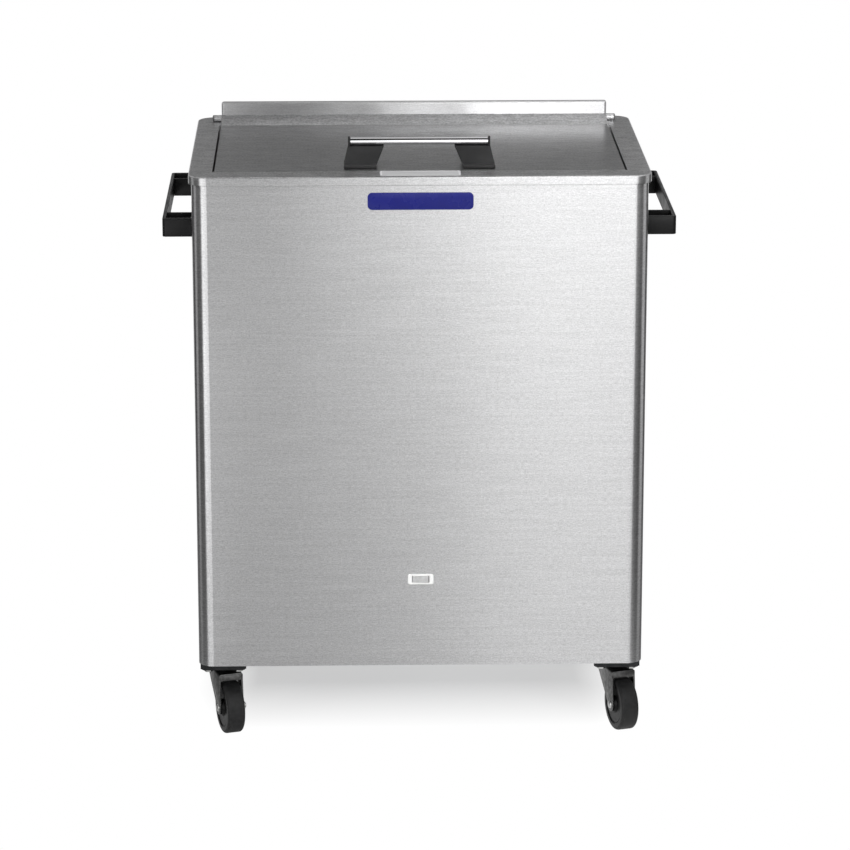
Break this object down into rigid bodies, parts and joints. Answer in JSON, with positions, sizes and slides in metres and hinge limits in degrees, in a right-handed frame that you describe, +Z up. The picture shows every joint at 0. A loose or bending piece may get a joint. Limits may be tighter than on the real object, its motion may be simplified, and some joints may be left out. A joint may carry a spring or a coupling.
{
  "type": "cold pack chiller",
  "caption": "Top-opening stainless steel chiller cabinet on swivel casters for cooling therapy cold packs, with hinged lid, side handles and a rocker switch.",
  "frame": {"origin": "centre of the footprint on the floor", "axes": "+Z up, front with badge and switch towards -Y, +X to the viewer's right"},
  "size_m": [0.726, 0.457, 0.871],
  "materials": {
    "stainless": "satin, fine horizontal grain",
    "lid_steel": "satin, fine horizontal grain",
    "galvanised": "galvanised sheet, matte",
    "zinc_steel": "bright zinc plate",
    "chrome": "polished chrome",
    "aluminium": "mill finish",
    "copper": "bright tube",
    "black_paint": "satin black paint",
    "black_plastic": "fine matte black",
    "white_plastic": "white moulding",
    "grey_plastic": "light grey moulding",
    "white_liner": "white liner",
    "foam": "cut foam",
    "gasket_rubber": "soft rubber",
    "wheel_rubber": "hard black rubber",
    "blue_plate": "deep blue enamel",
    "label_plate": "bare pale label"
  },
  "bodies": {
    "cabinet": {"outer_wrap": "stainless", "top_deck": "stainless", "inner_tank": "stainless", "base_pan": "galvanised", "caster_rails": "galvanised", "divider_panel": "galvanised", "rear_panel": "stainless", "service_panel": "stainless", "fan_shroud": "galvanised", "breaker_strip": "black_plastic", "evaporator_coil": "copper", "foam_insulation": "foam", "compressor": "black_paint", "compressor_feet": "gasket_rubber", "condenser": "aluminium", "fan_motor": "black_paint", "filter_drier": "copper", "refrigerant_lines": "copper", "thermostat_body": "black_plastic", "wiring_box": "black_plastic", "cord_gland": "black_plastic", "badge_plate": "blue_plate", "deck_label": "label_plate", "switch_housing": "white_plastic", "side_handle_left": "black_paint", "side_handle_right": "black_paint", "handle_brackets": "black_paint", "cabinet_screws": "zinc_steel", "hinge_fixed_leaf": "stainless", "hinge_pin": "zinc_steel", "floor_rack": "zinc_steel", "caster_bolts": "zinc_steel", "caster_plate_front_left": "zinc_steel", "caster_plate_front_right": "zinc_steel", "caster_plate_rear_left": "zinc_steel", "caster_plate_rear_right": "zinc_steel"},
    "lid": {"lid_skin": "lid_steel", "lid_inner_pan": "white_liner", "lid_foam": "foam", "lid_gasket": "gasket_rubber", "hinge_moving_leaf": "stainless", "lid_handle_legs": "black_plastic", "lid_handle_bar": "chrome", "lid_handle_screws": "zinc_steel"},
    "rocker": {"switch_rocker": "grey_plastic"},
    "knob": {"thermostat_knob": "black_plastic"},
    "fan": {"fan_blade": "aluminium"},
    "swivel_front_left": {"caster_yoke_front_left": "zinc_steel", "caster_axle_front_left": "zinc_steel"},
    "wheel_front_left": {"caster_wheel_front_left": "wheel_rubber"},
    "swivel_front_right": {"caster_yoke_front_right": "zinc_steel", "caster_axle_front_right": "zinc_steel"},
    "wheel_front_right": {"caster_wheel_front_right": "wheel_rubber"},
    "swivel_rear_left": {"caster_yoke_rear_left": "zinc_steel", "caster_axle_rear_left": "zinc_steel"},
    "wheel_rear_left": {"caster_wheel_rear_left": "wheel_rubber"},
    "swivel_rear_right": {"caster_yoke_rear_right": "zinc_steel", "caster_axle_rear_right": "zinc_steel"},
    "wheel_rear_right": {"caster_wheel_rear_right": "wheel_rubber"}
  },
  "joints": [
    {"name": "lid_hinge", "type": "hinge", "parent": "cabinet", "child": "lid", "pos_m": [0, 0.1905, 0.837], "axis": [-1, 0, 0], "range_deg": [0, 95]},
    {"name": "rocker_switch", "type": "hinge", "parent": "cabinet", "child": "rocker", "pos_m": [0, -0.2205, 0.244], "axis": [0, 0, 1], "range_deg": [0, 14]},
    {"name": "thermostat_turn", "type": "hinge", "parent": "cabinet", "child": "knob", "pos_m": [-0.2, 0.2073, 0.3], "axis": [0, -1, 0], "range_deg": [0, 300]},
    {"name": "fan_spin", "type": "hinge", "parent": "cabinet", "child": "fan", "pos_m": [-0.14, 0.0995, 0.228], "axis": [0, -1, 0], "continuous": true},
    {"name": "swivel_front_left", "type": "hinge", "parent": "cabinet", "child": "swivel_front_left", "pos_m": [-0.2855, -0.1545, 0.09], "axis": [0, 0, 1], "continuous": true},
    {"name": "roll_front_left", "type": "hinge", "parent": "swivel_front_left", "child": "wheel_front_left", "pos_m": [-0.27673, -0.18319, 0.038], "axis": [0.9563, 0.2924, 0], "continuous": true},
    {"name": "swivel_front_right", "type": "hinge", "parent": "cabinet", "child": "swivel_front_right", "pos_m": [0.2855, -0.1545, 0.09], "axis": [0, 0, 1], "continuous": true},
    {"name": "roll_front_right", "type": "hinge", "parent": "swivel_front_right", "child": "wheel_front_right", "pos_m": [0.29427, -0.18319, 0.038], "axis": [0.9563, 0.2924, 0], "continuous": true},
    {"name": "swivel_rear_left", "type": "hinge", "parent": "cabinet", "child": "swivel_rear_left", "pos_m": [-0.2855, 0.1545, 0.09], "axis": [0, 0, 1], "continuous": true},
    {"name": "roll_rear_left", "type": "hinge", "parent": "swivel_rear_left", "child": "wheel_rear_left", "pos_m": [-0.27673, 0.12581, 0.038], "axis": [0.9563, 0.2924, 0], "continuous": true},
    {"name": "swivel_rear_right", "type": "hinge", "parent": "cabinet", "child": "swivel_rear_right", "pos_m": [0.2855, 0.1545, 0.09], "axis": [0, 0, 1], "continuous": true},
    {"name": "roll_rear_right", "type": "hinge", "parent": "swivel_rear_right", "child": "wheel_rear_right", "pos_m": [0.29427, 0.12581, 0.038], "axis": [0.9563, 0.2924, 0], "continuous": true}
  ]
}
